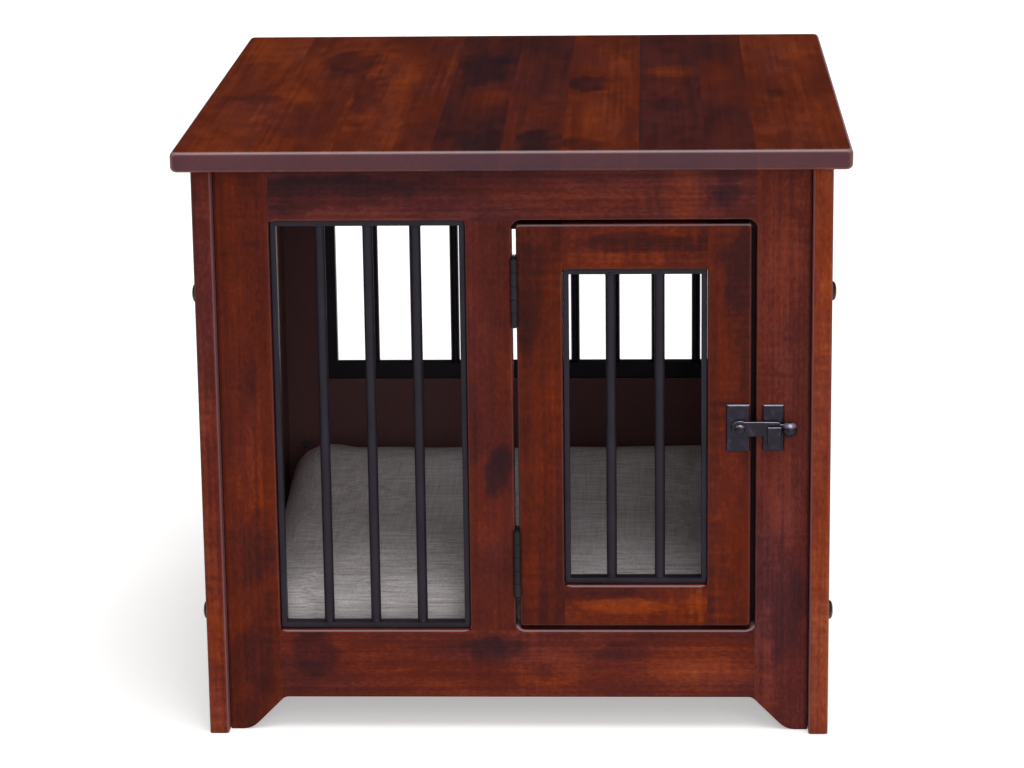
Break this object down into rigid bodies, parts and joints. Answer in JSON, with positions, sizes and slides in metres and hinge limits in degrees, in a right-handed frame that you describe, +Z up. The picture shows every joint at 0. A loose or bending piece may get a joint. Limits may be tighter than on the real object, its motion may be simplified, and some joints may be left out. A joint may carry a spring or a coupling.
{
  "type": "dog crate end table",
  "caption": "Wooden end table that is also a dog crate: barred windows, a hinged barred door with a drop-bar latch, and a loose cushion inside.",
  "frame": {"origin": "centre of the tabletop's outline, on the floor", "axes": "+Z up, the front with the door faces -Y, +X to the right seen from the front"},
  "size_m": [0.613, 0.661, 0.5588],
  "materials": {
    "stained_maple": "reddish brown stain under satin lacquer",
    "maple_plywood": "plain plywood, thin lacquer",
    "black_steel": "satin black powder coat",
    "cast_iron": "black, slightly worn at the edges",
    "bronze_steel": "dark bronze plating",
    "zinc_steel": "plain zinc plating",
    "woven_fabric": "warm grey woven upholstery cloth"
  },
  "bodies": {
    "case": {"tabletop": "stained_maple", "side_panel_left": "stained_maple", "side_panel_right": "stained_maple", "front_stile_left": "stained_maple", "front_stile_right": "stained_maple", "front_top_rail": "stained_maple", "front_bottom_rail": "stained_maple", "front_stile_centre": "stained_maple", "door_stop": "stained_maple", "back_stile_left": "stained_maple", "back_stile_right": "stained_maple", "back_top_rail": "stained_maple", "back_lower_panel": "stained_maple", "floor_cleat_left": "stained_maple", "floor_cleat_right": "stained_maple", "top_cleat_left": "stained_maple", "top_cleat_right": "stained_maple", "side_bolt_front_left_lower": "bronze_steel", "side_bolt_front_left_upper": "bronze_steel", "side_bolt_front_right_lower": "bronze_steel", "side_bolt_front_right_upper": "bronze_steel", "side_bolt_back_left_lower": "bronze_steel", "side_bolt_back_left_upper": "bronze_steel", "side_bolt_back_right_lower": "bronze_steel", "side_bolt_back_right_upper": "bronze_steel", "barrel_nut_front_left_lower": "zinc_steel", "barrel_nut_front_left_upper": "zinc_steel", "barrel_nut_front_right_lower": "zinc_steel", "barrel_nut_front_right_upper": "zinc_steel", "barrel_nut_back_left_lower": "zinc_steel", "barrel_nut_back_left_upper": "zinc_steel", "barrel_nut_back_right_lower": "zinc_steel", "barrel_nut_back_right_upper": "zinc_steel", "floor_panel": "maple_plywood", "cushion": "woven_fabric", "window_grille": "black_steel", "back_grille": "black_steel", "hinge_lower_frame_leaf": "black_steel", "hinge_lower_pin": "black_steel", "hinge_upper_frame_leaf": "black_steel", "hinge_upper_pin": "black_steel", "keeper": "cast_iron"},
    "door": {"door_stile_hinge": "stained_maple", "door_stile_latch": "stained_maple", "door_rail_bottom": "stained_maple", "door_rail_top": "stained_maple", "door_grille": "black_steel", "hinge_lower_door_leaf": "black_steel", "hinge_upper_door_leaf": "black_steel", "latch_plate": "cast_iron", "latch_rivet": "cast_iron"},
    "latch": {"latch_bar": "cast_iron"}
  },
  "joints": [
    {"name": "door_hinge", "type": "hinge", "parent": "case", "child": "door", "pos_m": [0.0011, -0.304, 0.293], "axis": [0, 0, -1], "range_deg": [0, 170]},
    {"name": "latch_lift", "type": "hinge", "parent": "door", "child": "latch", "pos_m": [0.207, -0.307, 0.294], "axis": [0, -1, 0], "range_deg": [0, 85]}
  ]
}
